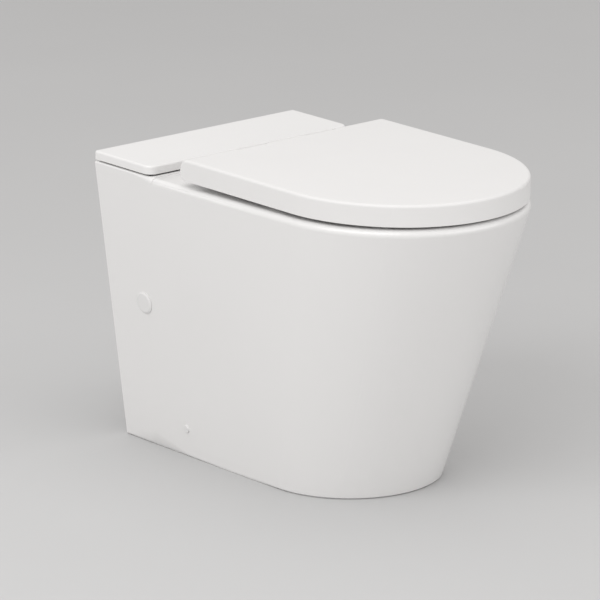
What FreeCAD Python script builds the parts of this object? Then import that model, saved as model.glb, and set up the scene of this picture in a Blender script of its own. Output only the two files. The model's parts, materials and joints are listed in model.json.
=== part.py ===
"""Back to wall toilet: glazed pan with open back, wrap-over lid, seat ring, hinges and fixings.

The pan is given as its castings, which are stuck together before firing: skirt with deck, bowl, trap, inlet.

Drawn from the wall plane y = 0 and the floor z = 0, with -Y out of the wall towards the nose and +Z up.
The finished pieces then move to the part's own origin, on the floor under the middle of the length.
"""
import FreeCAD, Part
import math
import os
import types

import Sketcher

Vector = FreeCAD.Vector

# Driving sizes in millimetres. Distances named rear, front or setback run from the wall.
SIZES = {
    # Outside of the pan
    "pan_length": 604,
    "pan_width": 362,
    "rim_height": 407.5,
    "rim_side_excess": 25,
    "rim_nose_shortfall": 9,
    "foot_length": 452,
    "foot_width": 257,
    "foot_side_radius": 128,
    "pan_wall": 12,
    "deck_thickness": 16,
    "deck_drop": 7,
    "plinth_rise": 1.5,
    "plinth_ledge": 4,
    "rim_edge_radius": 8,
    "foot_bevel": 2,
    # Bowl: how far in from the rim's outside its opening and its lower sections stand
    "bowl_rear": 264,
    "bowl_wall": 11,
    "bowl_edge_radius": 9,
    "casting_gap": 0.4,
    "rim_land_front": 40,
    "rim_land_side": 52,
    "shoulder_drop": 49.5,
    "shoulder_land_front": 64,
    "shoulder_land_side": 60,
    "slope_height": 255,
    "slope_land_front": 112,
    "slope_land_side": 83,
    "water_land_front": 184,
    "water_land_side": 119,
    "sump_land_front": 258,
    "sump_land_side": 147,
    # Trap and outlet
    "outlet_height": 185,
    "outlet_recess": 30,
    "spigot_length": 48,
    "spigot_radius": 51,
    "trap_bore_radius": 38,
    "trap_wall": 11,
    "trap_bend": 52,
    "trap_riser": 22,
    "weir_drop": 28,
    "weir_run": 76,
    # Flush inlet
    "inlet_drop": 54.5,
    "inlet_recess": 50,
    "inlet_bore_radius": 27.5,
    "inlet_bore_depth": 70,
    "inlet_wall": 9,
    "flush_slot_width": 52,
    "flush_slot_height": 24,
    # Rear platform and its cover
    "cover_depth": 118,
    "cover_inset": 2,
    "cover_thickness": 12,
    "cover_corner_radius": 14,
    "cover_edge_radius": 3,
    "gasket_thickness": 2.5,
    "gasket_inset": 5,
    "service_width": 180,
    "service_depth": 60,
    "service_rear": 28,
    "service_corner_radius": 12,
    "cover_rib_depth": 8,
    "cover_rib_width": 5,
    "cover_rib_play": 1,
    # Side plugs and floor fixings
    "plug_height": 212.5,
    "plug_setback": 76,
    "plug_head_radius": 15.5,
    "plug_head_rise": 2.6,
    "plug_shank_radius": 13,
    "plug_shank_reach": 4,
    "screw_height": 41,
    "screw_setback": 138,
    "screw_radius": 3,
    "screw_length": 40,
    "screw_cap_radius": 6,
    "screw_cap_rise": 2,
    "bracket_length": 50,
    "bracket_height": 60,
    "bracket_upright": 16,
    "bracket_foot": 52,
    "bracket_foot_thickness": 8,
    "bracket_gap": 0.5,
    "floor_hole_radius": 4,
    "floor_hole_inset": 34,
    # Pipes behind the pan
    "flush_pipe_radius": 22.5,
    "flush_pipe_wall": 3,
    "flush_pipe_neck": 1,
    "flush_pipe_entry": 46,
    "flush_seal_flange": 34,
    "flush_seal_lip": 4,
    "soil_pipe_radius": 55,
    "soil_pipe_wall": 3,
    "soil_socket_overlap": 38,
    "soil_socket_gap": 5,
    "wall_play": 2,
    # Lid, seat and hinge
    "lid_inset": 4,
    "lid_gap": 3.5,
    "lid_top_rise": 33,
    "lid_skin": 5,
    "lid_edge_radius": 4,
    "seat_gap": 4.5,
    "seat_thickness": 19,
    "seat_play": 2.5,
    "seat_rear_play": 4,
    "seat_edge_radius": 5,
    "seat_inner_edge_radius": 8,
    "seat_hole_rear": 283,
    "seat_hole_half_width": 112,
    "seat_hole_corner_radius": 100,
    "seat_land_front": 56,
    "buffer_length": 26,
    "buffer_width": 11,
    "buffer_rear_setback": 350,
    "buffer_rear_offset": 150,
    "buffer_land_front": 84,
    "buffer_front_offset": 118,
    "buffer_play": 0.2,
    "hinge_setback": 195,
    "hinge_spacing": 155,
    "barrel_radius": 17,
    "hinge_side_play": 0.75,
    "pillar_width": 21.5,
    "pillar_radius": 9,
    "pillar_base_length": 40,
    "pillar_base_thickness": 3,
    "pillar_washer_thickness": 1.5,
    "knuckle_length": 32,
    "seat_knuckle_radius": 10.5,
    "lid_knuckle_overlap": 1,
    "pin_engagement": 28,
    "pin_radius": 4,
    "pin_play": 0.05,
    "bolt_radius": 4,
    "bolt_hole_radius": 7,
    "bolt_grip": 7,
    "bolt_reach": 49,
    "nut_radius": 13,
    "nut_height": 14,
    "fit_play": 0.1,
    "slip": 1,
    "overcut": 6,
}
TOUCH = 1e-4
NEAR = 1
TRAP_SIDES = 24
TRAP_BORE_SIDES = 12


class Size:
    """A length together with the sheet formula that it comes from."""

    def __init__(self, value, text):
        self.value = float(value)
        self.text = text

    def __add__(self, other):
        other = as_size(other)
        return Size(self.value + other.value, f"({self.text} + {other.text})")

    def __sub__(self, other):
        other = as_size(other)
        return Size(self.value - other.value, f"({self.text} - {other.text})")

    def __mul__(self, other):
        other = as_size(other)
        return Size(self.value * other.value, f"({self.text} * {other.text})")

    def __truediv__(self, other):
        other = as_size(other)
        return Size(self.value / other.value, f"({self.text} / {other.text})")

    def __radd__(self, other):
        return as_size(other) + self

    def __rsub__(self, other):
        return as_size(other) - self

    def __rmul__(self, other):
        return as_size(other) * self

    def __neg__(self):
        return Size(-self.value, f"(-1 * {self.text})")


def as_size(amount):
    return amount if isinstance(amount, Size) else Size(amount, repr(float(amount)))


doc = FreeCAD.newDocument("BackToWallToilet")
sheet = doc.addObject("Spreadsheet::Sheet", "Sizes")
for row, (alias, number) in enumerate(SIZES.items(), 1):
    sheet.set(f"A{row}", alias)
    sheet.set(f"B{row}", str(number))
    sheet.setAlias(f"B{row}", alias)
doc.recompute()
s = types.SimpleNamespace(**{a: Size(n, f"<<Sizes>>.{a}") for a, n in SIZES.items()})

nodes = []


def node(obj, label):
    """Marks a finished sub-part, which is written under its label."""
    obj.Label = label
    nodes.append(obj)
    return obj


def bind(obj, path, amount):
    amount = as_size(amount)
    if "." not in path:
        setattr(obj, path, amount.value)
    if "<<Sizes>>" in amount.text:
        obj.setExpression(path, amount.text)


def place(obj, x=0, y=0, z=0, rotation=None):
    base = [as_size(c) for c in (x, y, z)]
    obj.Placement = FreeCAD.Placement(Vector(*(c.value for c in base)), rotation or FreeCAD.Rotation())
    for axis, amount in zip("xyz", base):
        bind(obj, f"Placement.Base.{axis}", amount)
    return obj


ALONG = {
    "x": FreeCAD.Rotation(Vector(0, 0, 1), Vector(1, 0, 0)),
    "y": FreeCAD.Rotation(Vector(0, 0, 1), Vector(0, 1, 0)),
    "z": FreeCAD.Rotation(),
}


def block(name, x0, x1, y0, y1, z0, z1):
    obj = doc.addObject("Part::Box", name)
    for path, low, high in (("Length", x0, x1), ("Width", y0, y1), ("Height", z0, z1)):
        bind(obj, path, as_size(high) - low)
    return place(obj, x0, y0, z0)


def rod(name, axis, radius, start, length):
    """A cylinder from the point start, along the named axis."""
    obj = doc.addObject("Part::Cylinder", name)
    bind(obj, "Radius", radius)
    bind(obj, "Height", length)
    return place(obj, *start, rotation=ALONG[axis])


def fuse(name, *shapes):
    obj = doc.addObject("Part::MultiFuse", name)
    obj.Shapes = list(shapes)
    return obj


def cut(name, base, *tools):
    obj = doc.addObject("Part::Cut", name)
    obj.Base = base
    obj.Tool = tools[0] if len(tools) == 1 else fuse(name + "_tools", *tools)
    return obj


def ease_edges(name, base, *rounds, kind="Fillet"):
    """Fillets or chamfers: each round is a radius and a test that picks its edges."""
    doc.recompute()
    obj = doc.addObject("Part::" + kind, name)
    obj.Base = base
    edges = []
    for radius, wanted in rounds:
        for index, edge in enumerate(base.Shape.Edges, 1):
            if wanted(edge):
                edges.append((index, radius.value, radius.value))
    obj.Edges = edges
    return obj


def level(edge, z):
    """True for an edge that lies all at the height z."""
    box = edge.BoundBox
    return abs(box.ZMin - z) < TOUCH and abs(box.ZMax - z) < TOUCH


def upright(edge):
    box = edge.BoundBox
    return max(box.XLength, box.YLength) < TOUCH


def constrain(sketch, amount, *what):
    amount = as_size(amount)
    index = sketch.addConstraint(Sketcher.Constraint(*what, amount.value))
    if "<<Sizes>>" in amount.text:
        sketch.setExpression(f"Constraints[{index}]", amount.text)


class Outline:
    """Plan of the pan at one level: straight sides, then side arcs and a nose arc that turn alike."""

    def __init__(self, half, front, side):
        self.half, self.front, self.side = half, front, side
        self.nose = side + (half - side) / side_share

    def inset(self, by):
        return Outline(self.half - by, self.front - by, self.side - by)

    def toward(self, other, share):
        pairs = ((self.half, other.half), (self.front, other.front), (self.side, other.side))
        return Outline(*(a + (b - a) * share for a, b in pairs))


def outline_sketch(name, plan, rear, z):
    """Closed sketch of an Outline at height z, cut straight across at y = rear."""
    w, r, nose = plan.half.value, plan.side.value, plan.nose.value
    y_rear = as_size(rear).value
    turn = math.acos(side_share.value)
    y_nose = nose - plan.front.value
    y_side = y_nose - (nose - r) * math.sin(turn)
    up = Vector(0, 0, 1)

    def arc(x, y, radius, first, last):
        return Part.ArcOfCircle(Part.Circle(Vector(x, y, 0), up, radius), first, last)

    corners = [Vector(w, y_rear, 0), Vector(-w, y_rear, 0), Vector(-w, y_side, 0), Vector(w, y_side, 0)]
    sketch = doc.addObject("Sketcher::SketchObject", name)
    sketch.addGeometry([
        Part.LineSegment(corners[0], corners[1]),
        Part.LineSegment(corners[1], corners[2]),
        arc(r - w, y_side, r, math.pi, math.pi + turn),
        arc(0, y_nose, nose, math.pi + turn, 2 * math.pi - turn),
        arc(w - r, y_side, r, 2 * math.pi - turn, 2 * math.pi),
        Part.LineSegment(corners[3], corners[0]),
    ], False)
    sketch.addConstraint(
        [Sketcher.Constraint("Coincident", 0, 2, 1, 1), Sketcher.Constraint("Coincident", 5, 2, 0, 1)]
        + [Sketcher.Constraint("Tangent", i, 2, i + 1, 1) for i in range(1, 5)]
        + [Sketcher.Constraint("Vertical", 1), Sketcher.Constraint("Vertical", 5),
           Sketcher.Constraint("Symmetric", 0, 1, 0, 2, -2),
           Sketcher.Constraint("PointOnObject", 3, 3, -2), Sketcher.Constraint("Equal", 2, 4)])
    constrain(sketch, plan.half * 2, "DistanceX", 0, 2, 0, 1)
    constrain(sketch, plan.side, "Radius", 2)
    constrain(sketch, plan.nose, "Radius", 3)
    constrain(sketch, plan.front - plan.nose, "DistanceY", 3, 3, -1, 1)
    if y_rear < 0:
        constrain(sketch, -as_size(rear), "DistanceY", 0, 1, -1, 1)
    else:
        constrain(sketch, rear, "DistanceY", -1, 1, 0, 1)
    return place(sketch, z=z)


def loft(name, sections, ruled):
    obj = doc.addObject("Part::Loft", name)
    obj.Sections = sections
    obj.Solid = True
    obj.Ruled = ruled
    return obj


def oval(name, half, rear, front, z):
    """Ellipse of a bowl section, long or wide as its sizes make it."""
    obj = doc.addObject("Part::Ellipse", name)
    half = as_size(half)
    reach = (as_size(front) - rear) / 2
    lengthways = reach.value >= half.value
    bind(obj, "MajorRadius", reach if lengthways else half)
    bind(obj, "MinorRadius", half if lengthways else reach)
    turned_round = FreeCAD.Rotation(Vector(0, 0, 1), 90 if lengthways else 0)
    return place(obj, 0, -(as_size(front) + rear) / 2, z, turned_round)


def extrude(name, sketch, length):
    obj = doc.addObject("Part::Extrusion", name)
    obj.Base = sketch
    obj.DirMode = "Normal"
    bind(obj, "LengthFwd", length)
    obj.Solid = True
    return obj


def origin_plane(body, role):
    return next(f for f in body.Origin.OriginFeatures if f.Role == role)


def polygon_sketch(body, role, points):
    """Sketch of a closed polygon on an origin plane, each corner held at its two sizes."""
    sketch = body.newObject("Sketcher::SketchObject", body.Name + "_profile")
    sketch.AttachmentSupport = [(origin_plane(body, role), "")]
    sketch.MapMode = "FlatFace"
    add_polygon(sketch, points)
    return sketch


def add_polygon(sketch, points):
    points = [(as_size(a), as_size(b)) for a, b in points]
    vectors = [Vector(a.value, b.value, 0) for a, b in points]
    first = sketch.GeometryCount
    count = len(points)
    for i in range(count):
        sketch.addGeometry(Part.LineSegment(vectors[i], vectors[(i + 1) % count]), False)
    for i in range(count):
        sketch.addConstraint(
            Sketcher.Constraint("Coincident", first + i, 2, first + (i + 1) % count, 1))
    for i, corner in enumerate(points):
        hold(sketch, first + i, 1, corner)


def hold(sketch, geometry, end, corner):
    """Ties one point of a sketch to its two coordinates."""
    for kind, axis, amount in (("DistanceX", -2, corner[0]), ("DistanceY", -1, corner[1])):
        if amount.value == 0:
            sketch.addConstraint(Sketcher.Constraint("PointOnObject", geometry, end, axis))
        elif amount.value > 0:
            constrain(sketch, amount, kind, -1, 1, geometry, end)
        else:
            constrain(sketch, -amount, kind, geometry, end, -1, 1)


def turned(label, profile, x=0, y=0, z=0, axis=Vector(0, 0, 1)):
    """A round piece: its profile of radius and height, revolved, then laid along an axis."""
    body = doc.addObject("PartDesign::Body", label)
    sketch = polygon_sketch(body, "XZ_Plane", profile)
    revolve = body.newObject("PartDesign::Revolution", label + "_revolve")
    revolve.Profile = sketch
    revolve.ReferenceAxis = (sketch, ["V_Axis"])
    revolve.Angle = 360
    body.Tip = revolve
    place(body, x, y, z, FreeCAD.Rotation(Vector(0, 0, 1), axis))
    return node(body, label)


def padded(label, role, points, length, centred=False):
    """A flat piece: a polygon padded off its origin plane."""
    body = doc.addObject("PartDesign::Body", label)
    sketch = polygon_sketch(body, role, points)
    pad = body.newObject("PartDesign::Pad", label + "_pad")
    pad.Profile = sketch
    bind(pad, "Length", length)
    pad.Midplane = centred
    body.Tip = pad
    return body


def rectangle(x, y0, y1):
    return [(-x, y0), (x, y0), (x, y1), (-x, y1)]


# Levels and plans that several pieces share
rim_half = s.pan_width / 2
side_share = s.rim_side_excess / (s.rim_side_excess + s.rim_nose_shortfall)
rim_plan = Outline(rim_half, s.pan_length, rim_half + s.rim_side_excess)
foot_half = s.foot_width / 2
foot_plan = Outline(foot_half, s.foot_length, s.foot_side_radius)
deck = s.rim_height - s.deck_drop
deck_under = deck - s.deck_thickness
plinth = deck + s.plinth_rise
plinth_front = s.cover_depth + s.plinth_ledge
fall = s.deck_drop / (s.pan_length - plinth_front)
flare = (rim_half - foot_half) / s.rim_height
side_normal = Vector(1, 0, -flare.value).normalize()
SIDES = (("left", -1), ("right", 1))

inlet_height = deck_under - s.inlet_drop
weir = s.outlet_height + s.weir_drop
throat = weir - s.trap_riser - s.trap_bend * 2
sump_floor = throat - s.trap_bore_radius
water = weir - s.trap_bore_radius
trap_radius = s.trap_bore_radius + s.trap_wall
spigot_end = s.outlet_recess + s.spigot_length
weir_setback = spigot_end + s.weir_run
bend_setback = weir_setback + s.trap_bend * 2
sump_middle = (s.bowl_rear + s.pan_length - s.sump_land_front) / 2

lid_top = s.rim_height + s.lid_top_rise
lid_bottom = s.rim_height + s.lid_gap
lid_ceiling = lid_top - s.lid_skin
barrel = s.barrel_radius
barrel_inner = barrel - s.lid_skin
axis_y = -s.hinge_setback
axis_z = lid_top - barrel
lid_plan = rim_plan.inset(s.lid_inset)
lid_pocket_plan = lid_plan.inset(s.lid_skin)
seat_plan = lid_pocket_plan.inset(s.seat_play)
seat_bottom = s.rim_height + s.seat_gap
seat_top = seat_bottom + s.seat_thickness


def flank(z):
    """Half width of the pan's flat flank at a height."""
    return foot_half + flare * z


def rim_level(setback):
    """Height of the rim, which falls evenly from the nose to the plinth."""
    return deck + fall * (setback - plinth_front)


def bowl_oval(name, grow, z, land_front, land_side):
    half = rim_half - land_side + grow
    return oval(name, half, s.bowl_rear - grow, s.pan_length - land_front + grow, z)


def bowl_body(name, grow):
    """Solid of the bowl from the deck down to the sump, grown by a wall."""
    grow = as_size(grow)
    throat_front = (s.water_land_front + s.sump_land_front) / 2
    throat_side = (s.water_land_side + s.sump_land_side) / 2
    rows = (
        (deck_under, s.rim_land_front, s.rim_land_side),
        (deck_under - s.shoulder_drop, s.shoulder_land_front, s.shoulder_land_side),
        (s.slope_height, s.slope_land_front, s.slope_land_side),
        (water, s.water_land_front, s.water_land_side),
        (throat + s.trap_bore_radius, throat_front, throat_side),
        (sump_floor - grow, s.sump_land_front, s.sump_land_side),
    )
    return loft(name, [bowl_oval(f"{name}_{i}", grow, *row) for i, row in enumerate(rows)], False)


def trap_path():
    """Centre line of the trap: throat, rise, over the weir, fall to the outlet, spigot."""
    bend, run, drop = s.trap_bend.value, s.weir_run.value, s.weir_drop.value
    lift = bend - drop
    leave = math.atan2(lift, run) + math.acos(bend / math.hypot(run, lift))

    def point(setback, z):
        return Vector(0, -as_size(setback).value, as_size(z).value)

    def arc(centre, first, last):
        angles = (first, (first + last) / 2, last)
        return [centre + Vector(0, bend * math.cos(a), bend * math.sin(a)) for a in angles]

    low = arc(point(bend_setback, throat + s.trap_bend), -math.pi / 2, 0)
    high = arc(point(weir_setback, weir - s.trap_bend), math.pi, leave)
    end = point(spigot_end, s.outlet_height)
    edges = [
        Part.LineSegment(point(sump_middle, throat), low[0]),
        Part.Arc(*low),
        Part.LineSegment(low[2], high[0]),
        Part.Arc(*high),
        Part.LineSegment(high[2], end),
        Part.LineSegment(end, point(s.outlet_recess, s.outlet_height)),
    ]
    path = doc.addObject("Part::Feature", "trap_path")
    path.Shape = Part.Wire([e.toShape() for e in edges])
    return path


def trap_tube(name, path, radius, sides):
    """Tube of flat sides along the path: the casting is seen only from behind, and its bore not at all."""
    section = doc.addObject("Part::RegularPolygon", name + "_section")
    bind(section, "Circumradius", radius)
    section.Polygon = sides
    place(section, 0, -sump_middle, throat, ALONG["y"])
    tube = doc.addObject("Part::Sweep", name)
    tube.Sections = [section]
    tube.Spine = (path, [f"Edge{i + 1}" for i in range(len(path.Shape.Edges))])
    tube.Solid = True
    tube.Frenet = False
    tube.Transition = "Right corner"
    return tube


def flank_hole(name, side, setback, z, radius, depth):
    """Cylinder square to a flank, from outside it to a depth under its surface."""
    normal = Vector(side * side_normal.x, 0, side_normal.z)
    hole = doc.addObject("Part::Cylinder", name)
    bind(hole, "Radius", radius)
    bind(hole, "Height", as_size(depth) + s.overcut)
    out = s.overcut.value
    surface = Vector(side * flank(z).value, -as_size(setback).value, as_size(z).value)
    turn = FreeCAD.Rotation(Vector(0, 0, 1), normal * -1)
    hole.Placement = FreeCAD.Placement(surface + normal * out, turn)
    return hole


def deck_cutter(name):
    """Everything above the deck: a rim that falls towards the hinges, and the step up to the plinth."""
    beyond = s.pan_length + s.overcut
    above = s.rim_height + s.overcut * 2
    corners = [(-beyond, rim_level(beyond)), (-plinth_front, deck), (-plinth_front, plinth),
               (s.overcut, plinth), (s.overcut, above), (-beyond, above)]
    sketch = doc.addObject("Sketcher::SketchObject", name + "_profile")
    add_polygon(sketch, corners)
    sideways = FreeCAD.Rotation(Vector(0, 1, 0), Vector(0, 0, 1), Vector(1, 0, 0), "ZXY")
    place(sketch, -(rim_half + s.overcut), rotation=sideways)
    return extrude(name, sketch, (rim_half + s.overcut) * 2)


def make_skirt():
    """Outside of the pan with its deck: open at the floor and towards the wall."""
    solid = loft("pan_block", [outline_sketch("foot_plan", foot_plan, s.overcut, 0),
                               outline_sketch("rim_plan", rim_plan, s.overcut, s.rim_height)], True)
    beyond = rim_half + s.overcut
    behind = block("behind_wall", -beyond, beyond, 0, s.overcut * 2, -s.overcut, s.rim_height + s.overcut)
    block_cut = cut("pan_block_cut", solid, deck_cutter("above_deck"), behind)

    def rim_edge(edge):
        box = edge.BoundBox
        across = box.YLength < TOUCH
        return box.ZMin > deck.value - TOUCH and box.YMax < NEAR - plinth_front.value and not across

    def foot_edge(edge):
        return level(edge, 0) and edge.BoundBox.YMin < -NEAR

    rounded = ease_edges("pan_rounded", block_cut, (s.rim_edge_radius, rim_edge))
    bevelled = ease_edges("pan_bevelled", rounded, (s.foot_bevel, foot_edge), kind="Chamfer")
    flank_holes, deck_holes = [], []
    for side_name, side in SIDES:
        flank_holes.append(flank_hole(f"plug_hole_{side_name}", side, s.plug_setback, s.plug_height,
                                      s.plug_shank_radius + s.fit_play, s.pan_wall + s.overcut))
        flank_holes.append(flank_hole(f"screw_hole_{side_name}", side, s.screw_setback, s.screw_height,
                                      s.screw_radius + s.fit_play, s.pan_wall + s.overcut))
        deck_holes.append(rod(f"bolt_hole_{side_name}", "z", s.bolt_hole_radius,
                              (s.hinge_spacing / 2 * side, axis_y, deck_under - s.overcut),
                              s.deck_thickness + s.overcut * 2))
    hollow_top = foot_plan.toward(rim_plan, deck_under / s.rim_height).inset(s.pan_wall)
    hollow = loft("pan_hollow", [outline_sketch("hollow_foot", foot_plan.inset(s.pan_wall), s.overcut, 0),
                                 outline_sketch("hollow_top", hollow_top, s.overcut, deck_under)], True)
    shell = cut("pan_shell", cut("pan_drilled", bevelled, *flank_holes), hollow)
    service = block("service_block", -s.service_width / 2, s.service_width / 2,
                    -(s.service_rear + s.service_depth), -s.service_rear,
                    deck_under - s.overcut, s.rim_height + s.overcut)
    mouth_plan = bowl_oval("bowl_mouth_plan", as_size(0), deck_under - s.overcut, s.rim_land_front,
                           s.rim_land_side)
    mouth = extrude("bowl_mouth", mouth_plan, s.deck_thickness + s.deck_drop + s.overcut * 2)
    service_opening = ease_edges("service_opening", service, (s.service_corner_radius, upright))
    skirt = cut("skirt_cut", shell, mouth, service_opening, *deck_holes)
    opening_half = (rim_half - s.rim_land_side).value + NEAR
    opening_front = (s.pan_length - s.rim_land_front).value + NEAR

    def bowl_edge(edge):
        box = edge.BoundBox
        inside = (box.XMax < opening_half and box.YMin > -opening_front
                  and box.YMax < NEAR - s.bowl_rear.value)
        return inside and box.ZMin > deck.value - TOUCH

    node(ease_edges("skirt", skirt, (s.bowl_edge_radius, bowl_edge)), "pan_skirt")


def make_bowl_and_trap():
    """The castings that hang in the skirt: bowl, trap with its outlet spigot, and flush inlet."""
    path = trap_path()
    slot_rear = s.inlet_recess + s.inlet_bore_depth

    def flush_slot(name):
        return block(name, -s.flush_slot_width / 2, s.flush_slot_width / 2,
                     -(s.bowl_rear + s.bowl_wall * 2), -(slot_rear - s.overcut),
                     inlet_height - s.flush_slot_height / 2, inlet_height + s.flush_slot_height / 2)

    def trap_bore(name):
        return trap_tube(name, path, s.trap_bore_radius, TRAP_BORE_SIDES)

    def bowl_space(name):
        return bowl_body(name, s.bowl_wall + s.casting_gap)

    node(cut("bowl_cut", bowl_body("bowl_outside", s.bowl_wall), bowl_body("bowl_inside", 0),
             trap_bore("throat_bore"), flush_slot("bowl_slot")), "pan_bowl")
    spigot = rod("outlet_spigot", "y", s.spigot_radius, (0, -spigot_end, s.outlet_height), s.spigot_length)
    outlet_bore = rod("outlet_bore", "y", s.trap_bore_radius, (0, -spigot_end, s.outlet_height),
                      s.spigot_length + s.overcut)
    outside = trap_tube("trap_outside", path, trap_radius, TRAP_SIDES)
    node(cut("trap_cut", fuse("trap_walls", outside, spigot), bowl_space("trap_end"),
             trap_bore("trap_bore"), outlet_bore), "pan_trap")
    horn = rod("inlet_horn", "y", s.inlet_bore_radius + s.inlet_wall, (0, -s.bowl_rear, inlet_height),
               s.bowl_rear - s.inlet_recess)
    inlet_bore = rod("inlet_bore", "y", s.inlet_bore_radius, (0, -slot_rear, inlet_height),
                     s.inlet_bore_depth + s.overcut)
    node(cut("inlet_cut", horn, bowl_space("horn_end"), inlet_bore, flush_slot("horn_slot")), "pan_inlet")


def make_rear_cover():
    low = plinth + s.gasket_thickness
    half = rim_half - s.cover_inset
    plate = block("cover_plate", -half, half, -s.cover_depth, 0, low, low + s.cover_thickness)
    corners = ease_edges("cover_corners", plate, (
        s.cover_corner_radius, lambda e: upright(e) and e.BoundBox.YMin < -NEAR))
    top = (low + s.cover_thickness).value
    eased = ease_edges("cover_eased", corners, (
        s.cover_edge_radius, lambda e: level(e, top) and e.BoundBox.YMin < -NEAR))
    rib_half = s.service_width / 2 - s.cover_rib_play
    rib_front = -(s.service_rear + s.service_depth - s.cover_rib_play)
    rib_rear = -(s.service_rear + s.cover_rib_play)
    rib_low = low - s.gasket_thickness - s.cover_rib_depth
    rib = block("cover_rib", -rib_half, rib_half, rib_front, rib_rear, rib_low, low)
    rib_corners = ease_edges("cover_rib_corners", rib, (s.service_corner_radius, upright), kind="Chamfer")
    inside = s.cover_rib_width
    hollow = block("cover_rib_hollow", -(rib_half - inside), rib_half - inside, rib_front + inside,
                   rib_rear - inside, rib_low, low)
    node(fuse("cover", eased, cut("cover_rib_frame", rib_corners, hollow)), "rear_cover")


def make_cover_gasket():
    half = rim_half - s.cover_inset - s.gasket_inset
    outside = rectangle(half, -(s.cover_depth - s.gasket_inset), -s.gasket_inset)
    inside = rectangle(s.service_width / 2, -(s.service_rear + s.service_depth), -s.service_rear)
    pad = padded("cover_gasket", "XY_Plane", outside, s.gasket_thickness)
    add_polygon(pad.Tip.Profile[0], inside)
    node(place(pad, z=plinth), "cover_gasket")


def make_flank_fittings():
    """Plugs, screws, caps and brackets, the same on both flanks."""
    for side_name, side in SIDES:
        normal = Vector(side * side_normal.x, 0, side_normal.z)
        plug_at = (flank(s.plug_height) * side, -s.plug_setback, s.plug_height, normal)
        screw_at = (flank(s.screw_height) * side, -s.screw_setback, s.screw_height, normal)
        reach = s.pan_wall + s.plug_shank_reach
        turned(f"side_plug_{side_name}", [
            (0, -reach), (s.plug_shank_radius, -reach), (s.plug_shank_radius, 0), (s.plug_head_radius, 0),
            (s.plug_head_radius, s.plug_head_rise / 2), (s.plug_shank_radius, s.plug_head_rise),
            (0, s.plug_head_rise)], *plug_at)
        turned(f"screw_cap_{side_name}", [
            (0, 0), (s.screw_cap_radius, 0), (s.screw_cap_radius - s.screw_cap_rise / 2, s.screw_cap_rise),
            (0, s.screw_cap_rise)], *screw_at)
        turned(f"fixing_screw_{side_name}", [
            (0, -s.screw_length), (s.screw_radius, -s.screw_length), (s.screw_radius, 0), (0, 0)],
            *screw_at)
        make_bracket(side_name, side)


def make_bracket(side_name, side):
    """Floor bracket: an upright along the flank's inside, and a foot with the floor screw's hole."""
    gap = foot_half - s.pan_wall - s.bracket_gap
    back = gap - s.bracket_upright

    def at(x, z):
        return ((x + flare * z) * side, as_size(z))

    foot_edge = (gap - s.bracket_foot) * side
    body = padded(f"bracket_body_{side_name}", "XZ_Plane", [
        at(gap, 0), at(gap, s.bracket_height), at(back, s.bracket_height),
        at(back, s.bracket_foot_thickness), (foot_edge, s.bracket_foot_thickness), (foot_edge, 0)],
        s.bracket_length, centred=True)
    place(body, y=-s.screw_setback)
    floor_hole = rod(f"floor_hole_{side_name}", "z", s.floor_hole_radius,
                     ((gap - s.floor_hole_inset) * side, -s.screw_setback, -s.overcut),
                     s.bracket_foot_thickness + s.overcut * 2)
    screw_hole = flank_hole(f"bracket_screw_hole_{side_name}", side, s.screw_setback, s.screw_height,
                            s.screw_radius + s.fit_play, s.screw_length)
    node(cut(f"bracket_{side_name}", body, floor_hole, screw_hole), f"floor_bracket_{side_name}")


def make_pipes():
    """Flush pipe and soil connector behind the pan, each in its rubber seal."""
    toward_wall = Vector(0, 1, 0)
    mouth = -s.inlet_recess
    pipe_start = mouth - s.flush_pipe_entry
    pipe_inner = s.flush_pipe_radius - s.flush_pipe_wall
    neck = s.flush_pipe_radius - s.flush_pipe_neck
    length = s.inlet_recess + s.flush_pipe_entry - s.wall_play
    stop = s.flush_pipe_entry + s.flush_seal_lip
    turned("flush_pipe", [(pipe_inner, 0), (neck, 0), (neck, stop), (s.flush_pipe_radius, stop),
                          (s.flush_pipe_radius, length), (pipe_inner, length)],
           0, pipe_start, inlet_height, toward_wall)
    inner = neck + s.fit_play
    outer = s.inlet_bore_radius - s.fit_play
    turned("flush_seal", [(inner, 0), (outer, 0), (outer, s.flush_pipe_entry),
                          (s.flush_seal_flange, s.flush_pipe_entry), (s.flush_seal_flange, stop),
                          (inner, stop)],
           0, pipe_start, inlet_height, toward_wall)
    socket_inner = s.spigot_radius + s.soil_socket_gap
    socket_outer = socket_inner + s.soil_pipe_wall
    pipe_bore = s.soil_pipe_radius - s.soil_pipe_wall
    start = -(s.outlet_recess + s.soil_socket_overlap)
    shoulder = s.soil_socket_overlap + s.wall_play / 2
    pipe_from = shoulder + s.soil_pipe_wall
    total = s.soil_socket_overlap + s.outlet_recess - s.wall_play
    turned("soil_connector", [(socket_inner, 0), (socket_outer, 0), (socket_outer, pipe_from),
                              (s.soil_pipe_radius, pipe_from), (s.soil_pipe_radius, total),
                              (pipe_bore, total), (pipe_bore, shoulder), (socket_inner, shoulder)],
           0, start, s.outlet_height, toward_wall)
    seal_inner = s.spigot_radius + s.fit_play
    seal_outer = socket_inner - s.fit_play
    seal_length = s.soil_socket_overlap / 2
    turned("soil_seal", [(seal_inner, 0), (seal_outer, 0), (seal_outer, seal_length),
                         (seal_inner, seal_length)],
           0, start, s.outlet_height, toward_wall)


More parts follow.
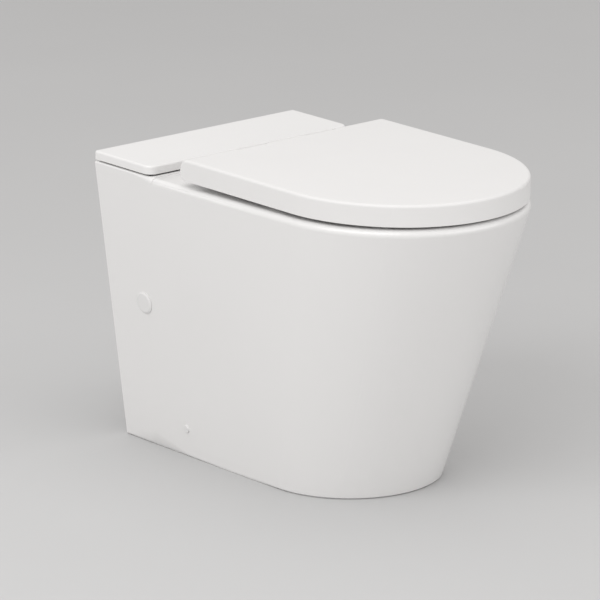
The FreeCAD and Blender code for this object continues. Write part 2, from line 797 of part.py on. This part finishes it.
def make_hinges():
    """Washer, pillar, bolt, nut and cross pin at each hinge."""
    half_w = s.pillar_width / 2
    half_l = s.pillar_base_length / 2
    foot_z = rim_level(s.hinge_setback + half_l) + s.pillar_washer_thickness
    hole = s.bolt_radius + s.fit_play
    for side_name, side in SIDES:
        x = s.hinge_spacing / 2 * side

        def slab(name, low, high):
            plate = block(name, x - half_w, x + half_w, axis_y - half_l, axis_y + half_l, low, high)
            return ease_edges(name + "_bevel", plate, (half_w - s.pin_radius, upright), kind="Chamfer")

        wedge = doc.addObject("Part::Common", f"washer_wedge_{side_name}")
        wedge.Base = slab(f"washer_{side_name}", deck - s.slip, foot_z)
        wedge.Tool = deck_cutter(f"washer_seat_{side_name}")
        washer_hole = rod(f"washer_hole_{side_name}", "z", hole, (x, axis_y, deck - s.slip),
                          foot_z - deck + s.slip * 2)
        node(cut(f"washer_cut_{side_name}", wedge, washer_hole), f"hinge_washer_{side_name}")
        web = block(f"pillar_web_{side_name}", x - half_w, x + half_w, axis_y - s.pillar_radius,
                    axis_y + s.pillar_radius, foot_z, axis_z)
        head = rod(f"pillar_head_{side_name}", "x", s.pillar_radius, (x - half_w, axis_y, axis_z),
                   s.pillar_width)
        pillar = fuse(f"pillar_{side_name}",
                      slab(f"pillar_base_{side_name}", foot_z, foot_z + s.pillar_base_thickness), web, head)
        pin_hole = rod(f"pin_hole_{side_name}", "x", s.pin_radius + s.pin_play,
                       (x - half_w - s.slip, axis_y, axis_z), s.pillar_width + s.slip * 2)
        bolt_hole = rod(f"pillar_bolt_hole_{side_name}", "z", hole, (x, axis_y, foot_z - s.slip),
                        s.bolt_grip + s.slip)
        node(cut(f"pillar_cut_{side_name}", pillar, pin_hole, bolt_hole), f"hinge_pillar_{side_name}")
        bolt_low = deck_under - s.bolt_reach
        node(rod(f"bolt_{side_name}", "z", s.bolt_radius, (x, axis_y, bolt_low),
                 foot_z + s.bolt_grip - bolt_low), f"hinge_bolt_{side_name}")
        nut = doc.addObject("Part::Prism", f"nut_prism_{side_name}")
        nut.Polygon = 6
        bind(nut, "Circumradius", s.nut_radius)
        bind(nut, "Height", s.nut_height)
        nut_low = deck_under - s.nut_height
        place(nut, x, axis_y, nut_low)
        nut_hole = rod(f"nut_hole_{side_name}", "z", hole, (x, axis_y, nut_low - s.slip),
                       s.nut_height + s.slip * 2)
        node(cut(f"nut_cut_{side_name}", nut, nut_hole), f"hinge_nut_{side_name}")
        reach = half_w + s.hinge_side_play + s.pin_engagement
        node(rod(f"pin_{side_name}", "x", s.pin_radius, (x - reach, axis_y, axis_z), reach * 2),
             f"hinge_pin_{side_name}")


def knuckle_start(side, inboard):
    """X where a knuckle begins beside its pillar, and the way it runs from there."""
    way = -side if inboard else side
    offset = s.pillar_width / 2 + s.hinge_side_play
    return s.hinge_spacing / 2 * side + offset * way, way


def span(start, way, length):
    end = start + length * way
    return (start, end) if way > 0 else (end, start)


def pin_socket(name, start, way):
    """Hole of a hinge pin in a knuckle, open towards the pillar."""
    low, high = span(start - s.slip * way, way, s.pin_engagement + s.slip + s.hinge_side_play)
    return rod(name, "x", s.pin_radius + s.pin_play, (low, axis_y, axis_z), high - low)


def buffers(label, low_at, high):
    """Four rubber pads of one set, each reaching down to the level found for its front end."""
    pads = []
    front_setback = s.pan_length - s.buffer_land_front
    rows = ((s.buffer_rear_offset, s.buffer_rear_setback), (s.buffer_front_offset, front_setback))
    for offset, setback in rows:
        front, rear = setback + s.buffer_length / 2, setback - s.buffer_length / 2
        low = low_at(front) + s.buffer_play
        for side_name, side in SIDES:
            x = offset * side
            pad = block(f"{label}_{side_name}_{len(pads)}", x - s.buffer_width / 2, x + s.buffer_width / 2,
                        -front, -rear, low, high)
            pads.append(ease_edges(pad.Name + "_bevel", pad, (s.buffer_width / 4, upright), kind="Chamfer"))
    node(fuse(label + "_set", *pads), label)


def make_seat():
    rear = axis_y - barrel_inner - s.seat_rear_play
    slab = extrude("seat_slab", outline_sketch("seat_plan", seat_plan, rear, seat_bottom), s.seat_thickness)
    hole_half = s.seat_hole_half_width
    hole_front = s.pan_length - s.seat_land_front
    hole_block = block("seat_hole_block", -hole_half, hole_half, -hole_front, -s.seat_hole_rear,
                       seat_bottom - s.overcut, seat_top + s.overcut)
    hole = ease_edges("seat_hole", hole_block, (s.seat_hole_corner_radius, upright))
    ring = cut("seat_ring_cut", slab, hole)
    top = seat_top.value

    def inner(edge):
        box = edge.BoundBox
        return max(-box.XMin, box.XMax) < hole_half.value + NEAR and box.YMin > -hole_front.value - NEAR

    rounded = ease_edges(
        "seat_rounded", ring,
        (s.seat_inner_edge_radius, lambda e: level(e, top) and inner(e)),
        (s.seat_edge_radius, lambda e: level(e, top) and not inner(e)))
    pieces, holes = [rounded], []
    for side_name, side in SIDES:
        start, way = knuckle_start(side, True)
        low, high = span(start, way, s.knuckle_length)
        pieces.append(block(f"seat_arm_{side_name}", low, high, rear - s.seat_edge_radius * 2, axis_y,
                            axis_z - s.seat_knuckle_radius, seat_top))
        pieces.append(rod(f"seat_knuckle_{side_name}", "x", s.seat_knuckle_radius, (low, axis_y, axis_z),
                          high - low))
        holes.append(pin_socket(f"seat_pin_socket_{side_name}", start, way))
    node(cut("seat_cut", fuse("seat_fused", *pieces), *holes), "seat_ring")
    buffers("seat_buffers", rim_level, seat_bottom)


def make_lid():
    height = lid_top - lid_bottom
    cap = extrude("lid_cap", outline_sketch("lid_plan", lid_plan, axis_y, lid_bottom), height)
    end = rod("lid_end", "x", barrel, (-lid_plan.half, axis_y, axis_z), lid_plan.half * 2)
    end_limit = block("lid_end_limit", -lid_plan.half, lid_plan.half, axis_y, axis_y + barrel,
                      lid_bottom, lid_top)
    end_round = doc.addObject("Part::Common", "lid_end_round")
    end_round.Base = end
    end_round.Tool = end_limit
    whole = fuse("lid_whole", cap, end_round)
    whole.Refine = True
    top, half = lid_top.value, lid_plan.half.value

    def outer_top(edge):
        box = edge.BoundBox
        on_side = box.XLength < TOUCH and abs(abs(box.XMin) - half) < TOUCH
        side_end = on_side and box.YMax > axis_y.value + NEAR and box.ZMax > axis_z.value + NEAR
        return side_end or (level(edge, top) and box.YMin < axis_y.value - NEAR)

    rounded = ease_edges("lid_rounded", whole, (s.lid_edge_radius, outer_top))
    pocket_low = lid_bottom - s.overcut
    pocket = extrude("lid_pocket", outline_sketch("lid_pocket_plan", lid_pocket_plan, axis_y, pocket_low),
                     lid_ceiling - pocket_low)
    inner_half = lid_pocket_plan.half
    end_pocket = rod("lid_end_pocket", "x", barrel_inner, (-inner_half, axis_y, axis_z), inner_half * 2)
    end_mouth = block("lid_end_mouth", -inner_half, inner_half, axis_y, axis_y + barrel_inner,
                      pocket_low, axis_z)
    shell = cut("lid_shell", rounded, pocket, end_pocket, end_mouth)
    knuckles, holes = [], []
    for side_name, side in SIDES:
        start, way = knuckle_start(side, False)
        low, high = span(start, way, s.knuckle_length)
        knuckles.append(rod(f"lid_knuckle_{side_name}", "x", barrel_inner + s.lid_knuckle_overlap,
                            (low, axis_y, axis_z), high - low))
        holes.append(pin_socket(f"lid_pin_socket_{side_name}", start, way))
        seat_start, seat_way = knuckle_start(side, True)
        notch_end = seat_start + (s.knuckle_length + s.hinge_side_play) * seat_way
        low, high = (notch_end, start) if side > 0 else (start, notch_end)
        holes.append(block(f"lid_notch_{side_name}", low, high, axis_y, axis_y + barrel + s.overcut,
                           pocket_low, lid_top + s.overcut))
    node(cut("lid_cut", fuse("lid_fused", shell, *knuckles), *holes), "lid")
    buffers("lid_buffers", lambda setback: seat_top, lid_ceiling)


make_skirt()
make_bowl_and_trap()
make_rear_cover()
make_cover_gasket()
make_flank_fittings()
make_pipes()
make_hinges()
make_seat()
make_lid()
doc.recompute()

faults = [o.Label for o in doc.Objects if "Invalid" in o.State or "Error" in o.State]
faults += [o.Label for o in nodes if o.Shape.isNull() or not o.Shape.isValid() or not o.Shape.Solids]
if faults:
    raise RuntimeError("not built: " + ", ".join(faults))

os.makedirs("parts", exist_ok=True)
for obj in nodes:
    piece = obj.Shape.copy()
    piece.translate(Vector(0, s.pan_length.value / 2, 0))
    piece.exportStep(f"parts/{obj.Label}.step")
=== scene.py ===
import json
import math

import bmesh
import bpy
from mathutils import Matrix, Vector


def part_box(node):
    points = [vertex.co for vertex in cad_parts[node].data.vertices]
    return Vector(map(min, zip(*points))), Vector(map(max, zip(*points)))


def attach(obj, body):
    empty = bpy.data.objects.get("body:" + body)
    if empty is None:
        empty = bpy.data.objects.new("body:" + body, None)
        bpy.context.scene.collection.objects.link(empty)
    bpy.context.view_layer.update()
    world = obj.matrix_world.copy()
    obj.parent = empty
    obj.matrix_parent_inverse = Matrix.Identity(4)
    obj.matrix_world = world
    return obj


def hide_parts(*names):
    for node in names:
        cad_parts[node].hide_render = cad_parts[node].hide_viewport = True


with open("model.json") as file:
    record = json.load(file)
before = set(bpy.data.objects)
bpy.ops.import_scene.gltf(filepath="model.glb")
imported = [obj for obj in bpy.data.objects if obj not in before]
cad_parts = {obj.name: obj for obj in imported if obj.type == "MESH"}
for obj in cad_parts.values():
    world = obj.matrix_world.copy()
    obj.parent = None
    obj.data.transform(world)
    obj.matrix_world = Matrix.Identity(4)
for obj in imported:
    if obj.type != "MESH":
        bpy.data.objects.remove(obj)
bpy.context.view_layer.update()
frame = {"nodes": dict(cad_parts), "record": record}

nodes = frame["nodes"]
slots = {part["node"]: part["material_slot"] for part in frame["record"]["subparts"]}

# Directions, and the distance in metres within which two places count as one
UP = Vector((0, 0, 1))
TO_WALL = Vector((0, 1, 0))
WELD_DIGITS = 6
WELD = 10 ** -WELD_DIGITS

# Linear colours: the darker and the lighter tone of a surface's clouds, or the one tone of a metal
GLAZE_TONES = (0.745, 0.738, 0.732), (0.765, 0.758, 0.752)
SEAT_TONES = (0.715, 0.708, 0.702), (0.735, 0.728, 0.722)
TRIM_TONES = (0.70, 0.695, 0.69), (0.74, 0.735, 0.73)
PIPE_TONES = (0.50, 0.50, 0.49), (0.58, 0.58, 0.57)
NUT_TONES = (0.58, 0.58, 0.57), (0.66, 0.66, 0.65)
BLACK_RUBBER_TONES = (0.018, 0.018, 0.018), (0.035, 0.035, 0.034)
PALE_RUBBER_TONES = (0.46, 0.46, 0.45), (0.54, 0.54, 0.53)
FLOOR_TONES = (0.51, 0.51, 0.51), (0.54, 0.54, 0.54)
PLATE_TONE = (0.72, 0.72, 0.73)
STEEL_TONE = (0.58, 0.58, 0.59)
MARK_SHADE = 0.9

# Skin texture of the mouldings, and how many times finer the metals' tool marks are along each axis
FINE_GRAIN = 900.0
COARSE_GRAIN = 500.0
MARKS_ACROSS_Z = (1, 1, 12)
MARKS_ALONG_X = (1, 12, 12)

# Threads of the hinge bolts and of the screws through the flanks
BAR_SIDES = 20
RIDGE_FOOT_TO_CORE = 0.97
RIDGE_REACH_TO_PITCH = 0.42
TIP_TO_CORE = 0.4

# Rounding of the skirt's edges beside the rear cover, in metres
PLATFORM_LEDGE = 0.004
RIM_RADIUS = 0.009
SIDE_RADIUS = 0.002
FADE_LENGTH = 0.05
FADE_STEPS = 8
ROUND_STEPS = 8
FLANK_FACING = 0.9
SHARP_ANGLE = math.radians(35)

# Floor, a hair below the foot so that they don't lie in one plane, and soft studio light
FLOOR_SIZE = 40
FLOOR_DROP = 0.0003
SKY_COLOUR = (1.0, 0.985, 0.975, 1)
SKY_STRENGTH = 0.78
LIGHT_AIM = Vector((0, 0, 0.2))

# Camera, from the outlines in the photograph, which has the aim this far from its middle
AZIMUTH = math.radians(-41.33)
ELEVATION = math.radians(16.46)
DISTANCE = 6.5
AIM = Vector((0, -0.028, 0.21))
AIM_RIGHT_PX = 54.7
AIM_DOWN_PX = 23.0
FOCAL_PX = 4803.2
IMAGE_PX = 600
SENSOR_MM = 36


class Surface:
    """A procedural material: a principled shader fed by textures in the object's own metres."""

    def __init__(self, name, **fixed):
        self.material = bpy.data.materials.new(name)
        self.material.use_nodes = True
        self.tree = self.material.node_tree
        self.shader = self.tree.nodes["Principled BSDF"]
        self.place = self.tree.nodes.new("ShaderNodeTexCoord").outputs["Object"]
        self.feed(self.shader, **fixed)

    def feed(self, node, **inputs):
        """Sets inputs of a node, or links those that come from another node."""
        for name, value in inputs.items():
            socket = node.inputs[name.replace("_", " ")]
            if isinstance(value, bpy.types.NodeSocket):
                self.tree.links.new(value, socket)
            else:
                socket.default_value = value

    def new(self, kind, **inputs):
        node = self.tree.nodes.new(kind)
        self.feed(node, **inputs)
        return node

    def stretched(self, scale):
        return self.new("ShaderNodeMapping", Vector=self.place, Scale=scale).outputs["Vector"]

    def noise(self, scale, detail=3.0, rough=0.5, place=None):
        node = self.new("ShaderNodeTexNoise", Vector=place or self.place, Scale=scale, Detail=detail,
                        Roughness=rough)
        return node.outputs["Fac"]

    def colour(self, value, tones):
        ramp = self.new("ShaderNodeValToRGB", Fac=value)
        for end, tone in zip(ramp.color_ramp.elements, tones):
            end.color = (*tone, 1)
        self.feed(self.shader, Base_Color=ramp.outputs["Color"])

    def roughness(self, value, limits):
        low, high = limits
        span = self.new("ShaderNodeMapRange", Value=value, To_Min=low, To_Max=high)
        self.feed(self.shader, Roughness=span.outputs["Result"])

    def bump(self, value, depth, strength):
        bump = self.new("ShaderNodeBump", Height=value, Distance=depth, Strength=strength)
        self.feed(self.shader, Normal=bump.outputs["Normal"])


def glaze(name, tones):
    """Fired glaze: faint clouding of the body under it, a slow waviness and a clear top coat."""
    surface = Surface(name, Coat_Weight=0.5, Coat_Roughness=0.08)
    surface.colour(surface.noise(scale=5.0, detail=1.0), tones)
    surface.roughness(surface.noise(scale=14.0), limits=(0.29, 0.36))
    surface.bump(surface.noise(scale=38.0, detail=2.0), depth=0.00006, strength=0.5)
    return surface.material


def moulding(name, tones, rough, grain):
    """Moulded plastic: slight flow clouds and a fine skin texture."""
    surface = Surface(name, Specular_IOR_Level=0.3)
    surface.colour(surface.noise(scale=9.0), tones)
    surface.roughness(surface.noise(scale=30.0), limits=rough)
    surface.bump(surface.noise(scale=grain, detail=2.0), depth=0.00002, strength=0.4)
    return surface.material


def rubber(name, tones):
    """Matt rubber with a fine, even grain."""
    surface = Surface(name)
    surface.colour(surface.noise(scale=220.0, detail=5.0), tones)
    surface.roughness(surface.noise(scale=60.0), limits=(0.62, 0.8))
    surface.bump(surface.noise(scale=700.0), depth=0.00008, strength=0.5)
    return surface.material


def metal(name, tone, rough, marks):
    """Bright metal with fine tool marks."""
    surface = Surface(name, Metallic=1.0)
    lines = surface.noise(scale=60.0, detail=4.0, rough=0.6, place=surface.stretched(marks))
    surface.colour(lines, tones=([part * MARK_SHADE for part in tone], tone))
    surface.roughness(lines, limits=rough)
    surface.bump(lines, depth=0.00001, strength=0.3)
    return surface.material


# The denoiser sorts surfaces at a roughness of about 0.274, so no material has limits on both sides of it
looks = {
    "glaze": glaze("white_glaze", GLAZE_TONES),
    "cover_glaze": glaze("white_glaze_cover", GLAZE_TONES),
    "seat_white": moulding("seat_white", SEAT_TONES, rough=(0.38, 0.46), grain=FINE_GRAIN),
    "trim_white": moulding("trim_white", TRIM_TONES, rough=(0.3, 0.4), grain=FINE_GRAIN),
    "pipe_plastic": moulding("pipe_plastic", PIPE_TONES, rough=(0.42, 0.55), grain=COARSE_GRAIN),
    "nut_plastic": moulding("nut_plastic", NUT_TONES, rough=(0.4, 0.5), grain=COARSE_GRAIN),
    "rubber": rubber("black_rubber", BLACK_RUBBER_TONES),
    "buffer": rubber("pale_rubber", PALE_RUBBER_TONES),
    "hinge_metal": metal("polished_plate", PLATE_TONE, rough=(0.10, 0.2), marks=MARKS_ACROSS_Z),
    "steel": metal("bright_steel", STEEL_TONE, rough=(0.29, 0.40), marks=MARKS_ALONG_X),
}

for name, obj in nodes.items():
    obj.data.materials.clear()
    obj.data.materials.append(looks[slots[name]])


def spot(point):
    """A point's place, rounded so that equal places compare as equal."""
    return tuple(round(c, WELD_DIGITS) for c in point)


def linked(name, data):
    """A new object of the scene, made of the given mesh, light or camera."""
    obj = bpy.data.objects.new(name, data)
    bpy.context.collection.objects.link(obj)
    return obj


def stand_in(name, mesh):
    """Puts a mesh in the place of a CAD node of the pan, with that node's look."""
    mesh.materials.append(looks[slots[name]])
    piece = linked(mesh.name, mesh)
    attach(piece, "pan")
    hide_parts(name)


def bar_line(name, toward):
    """Ends and radius of a round CAD bar, its last end the one that points the given way."""
    points = {spot(vertex.co) for vertex in nodes[name].data.vertices}
    points = sorted((Vector(point) for point in points), key=toward.dot)
    half = len(points) // 2
    start, end = (sum(ring, Vector()) / half for ring in (points[:half], points[half:]))
    return start, end, (points[0] - start).length


def around(radius, step, z):
    """Point at a radius from a bar's axis, a number of sides round it and a distance along it."""
    angle = 2 * math.pi * step / BAR_SIDES
    return radius * math.cos(angle), radius * math.sin(angle), z


def closed_tube(rings):
    """Points and faces of a closed tube through rings that have equally many points."""
    count = len(rings[0])
    points = [point for ring in rings for point in ring]
    faces = [tuple(range(count)), tuple(range(len(points) - count, len(points)))]
    for row in range(0, len(points) - count, count):
        for i in range(count):
            a, b = row + i, row + (i + 1) % count
            faces.append((a, b, b + count, a + count))
    return points, faces


def ridge_rings(core, crest, pitch, turns):
    """Sections of a thread's ridge, wound round a core from one pitch on and faded over its end turns."""
    steps = turns * BAR_SIDES
    foot = core * RIDGE_FOOT_TO_CORE
    reach = pitch * RIDGE_REACH_TO_PITCH
    rings = []
    for step in range(steps + 1):
        z = pitch + pitch * step / BAR_SIDES
        fade = min(1, step / BAR_SIDES, (steps - step) / BAR_SIDES)
        section = ((foot, z - reach), (core + (crest - core) * fade, z), (foot, z + reach))
        rings.append([around(radius, step, place) for radius, place in section])
    return rings


def threaded_bar(name, toward, pitch, depth, taper):
    """A bar with a cut thread and a tapered tip, in place of the plain CAD bar."""
    start, end, radius = bar_line(name, toward)
    along = (end - start).normalized()
    length = (end - start).length
    core = radius - depth
    profile = ((core - depth, 0), (core, depth), (core, length - taper), (core * TIP_TO_CORE, length))
    points, faces = closed_tube([[around(r, step, z) for step in range(BAR_SIDES)] for r, z in profile])
    turns = int((length - taper) / pitch) - 1
    ridge_points, ridge_faces = closed_tube(ridge_rings(core, radius, pitch, turns))
    faces += [tuple(i + len(points) for i in face) for face in ridge_faces]
    across = along.orthogonal().normalized()
    lie = Matrix((across, along.cross(across), along)).transposed()
    mesh = bpy.data.meshes.new(name + "_thread")
    mesh.from_pydata([start + lie @ Vector(point) for point in points + ridge_points], [], faces)
    outward = bmesh.new()
    outward.from_mesh(mesh)
    bmesh.ops.recalc_face_normals(outward, faces=outward.faces)
    outward.to_mesh(mesh)
    outward.free()
    stand_in(name, mesh)


def fall(radius, past):
    """How far a rounded edge draws in, at a distance past the line where its rounding starts."""
    past = min(max(past, 0), radius)
    return radius - math.sqrt(radius ** 2 - past ** 2)


def cut_across(shape, faces, axis, place):
    """Cuts the given faces of a shape along a plane square to an axis."""
    parts = {part for face in faces for part in (face, *face.edges, *face.verts)}
    bmesh.ops.bisect_plane(shape, geom=list(parts), dist=WELD, plane_co=axis * place, plane_no=axis)


def cut_for_rounding(shape, top, front):
    """Cuts a skirt into the strips that its rounding bends, and one below, but not its front ledge."""
    for i in range(FADE_STEPS + 1):
        cut_across(shape, shape.faces, TO_WALL, front + FADE_LENGTH * i / FADE_STEPS)
    ledge = [face for face in shape.faces if max(abs(v.co.y - front) for v in face.verts) < 2 * WELD]
    bmesh.ops.dissolve_faces(shape, faces=ledge)
    for i in range(-1, ROUND_STEPS):
        past = RIM_RADIUS * math.sin(math.pi / 2 * i / ROUND_STEPS)
        behind = [face for face in shape.faces if face.calc_center_median().y > front + WELD]
        cut_across(shape, behind, UP, top - RIM_RADIUS + past)


def faces_flank(vert):
    """Whether a point lies on a face that looks out to its own side of the pan."""
    side = math.copysign(1, vert.co.x)
    return any(face.normal.x * side > FLANK_FACING for face in vert.link_faces)


def round_flanks(shape, top, front):
    """Draws a skirt's flanks in at their top edges, by a radius that fades behind the front."""
    shape.normal_update()
    flank = [vert for vert in shape.verts if vert.co.y > front - 2 * WELD and faces_flank(vert)]
    for vert in flank:
        fade = max(0, 1 - (vert.co.y - front) / FADE_LENGTH)
        radius = SIDE_RADIUS + (RIM_RADIUS - SIDE_RADIUS) * fade ** 2
        vert.co.x -= math.copysign(fall(radius, vert.co.z - top + radius), vert.co.x)


def corner_spot(mesh, corner):
    """Place of a mesh's corner."""
    return spot(mesh.vertices[mesh.loops[corner].vertex_index].co)


def normals_from(mesh, cad):
    """Corner normals of a mesh cut from a CAD one: the CAD's at old corners, its own at new ones."""
    known = {}
    for corner, normal in enumerate(cad.corner_normals):
        known.setdefault(corner_spot(cad, corner), []).append(normal.vector)
    normals = []
    for face in mesh.polygons:
        for corner in face.loop_indices:
            own = mesh.corner_normals[corner].vector
            normals.append(max(known.get(corner_spot(mesh, corner), [own]), key=face.normal.dot).copy())
    return normals


def eased_skirt(name):
    """The pan's skirt, with the rim's rounding led on along the sides of the platform, where it fades."""
    cad = nodes[name].data
    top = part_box("cover_gasket")[0].z
    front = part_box("rear_cover")[0].y - PLATFORM_LEDGE
    shape = bmesh.new()
    shape.from_mesh(cad)
    bmesh.ops.remove_doubles(shape, verts=shape.verts, dist=WELD)
    cut_for_rounding(shape, top, front)
    round_flanks(shape, top, front)
    bmesh.ops.triangulate(shape, faces=[face for face in shape.faces if len(face.verts) > 4])
    for face in shape.faces:
        face.smooth = True
    mesh = bpy.data.meshes.new(name + "_eased")
    shape.to_mesh(mesh)
    shape.free()
    mesh.set_sharp_from_angle(angle=SHARP_ANGLE)
    mesh.normals_split_custom_set(normals_from(mesh, cad))
    stand_in(name, mesh)


def pale_floor():
    """The floor, one large square."""
    half = FLOOR_SIZE / 2
    corners = ((-half, -half), (half, -half), (half, half), (-half, half))
    mesh = bpy.data.meshes.new("floor")
    mesh.from_pydata([(x, y, -FLOOR_DROP) for x, y in corners], [], [(0, 1, 2, 3)])
    pale = Surface("pale_floor")
    pale.colour(pale.noise(scale=1.5), FLOOR_TONES)
    pale.roughness(pale.noise(scale=4.0), limits=(0.7, 0.8))
    mesh.materials.append(pale.material)
    floor = linked("floor", mesh)


def soft_sky():
    """Even light from all around."""
    world = bpy.context.scene.world or bpy.data.worlds.new("world")
    bpy.context.scene.world = world
    world.use_nodes = True
    background = world.node_tree.nodes["Background"]
    background.inputs["Color"].default_value = SKY_COLOUR
    background.inputs["Strength"].default_value = SKY_STRENGTH


def looking(eye, forward):
    """Stance of a light or camera that looks from a place in a direction, its top up."""
    return Matrix.LocRotScale(eye, forward.to_track_quat("-Z", "Y"), None)


def panel(name, eye, size, power):
    """A soft light, turned to the object."""
    light = bpy.data.lights.new(name, "AREA")
    light.shape = "RECTANGLE"
    light.size, light.size_y = size
    light.energy = power
    linked(name, light).matrix_world = looking(eye, LIGHT_AIM - eye)


def toward_eye(azimuth, elevation):
    """Direction from the object to an eye at an azimuth, counted from the nose, and an elevation."""
    reach = math.cos(elevation)
    return Vector((math.sin(azimuth) * reach, -math.cos(azimuth) * reach, math.sin(elevation)))


def photo_camera():
    """The camera of the photograph, turned so that the aim lies where the picture has it."""
    yaw = math.atan(AIM_RIGHT_PX / FOCAL_PX)
    lift = math.atan(AIM_DOWN_PX / FOCAL_PX)
    eye = AIM + toward_eye(AZIMUTH, ELEVATION) * DISTANCE
    lens = bpy.data.cameras.new("camera")
    lens.sensor_width = SENSOR_MM
    lens.lens = FOCAL_PX / IMAGE_PX * SENSOR_MM
    camera = linked("camera", lens)
    camera.matrix_world = looking(eye, -toward_eye(AZIMUTH + yaw, ELEVATION - lift))
    bpy.context.scene.camera = camera


for side, inward in (("left", 1), ("right", -1)):
    threaded_bar(f"hinge_bolt_{side}", -UP, pitch=0.00125, depth=0.0007, taper=0.0015)
    threaded_bar(f"fixing_screw_{side}", Vector((inward, 0, 0)), pitch=0.0024, depth=0.001, taper=0.005)
eased_skirt("pan_skirt")

pale_floor()
soft_sky()
panel("key", eye=Vector((-2.6, -0.6, 2.4)), size=(3.6, 2.0), power=55)
panel("top", eye=Vector((0, 0, 3.2)), size=(2.6, 2.6), power=12)
panel("fill", eye=Vector((1.4, -3.8, 1.1)), size=(4.4, 2.0), power=34)
photo_camera()
bpy.context.scene.view_settings.view_transform = "Standard"
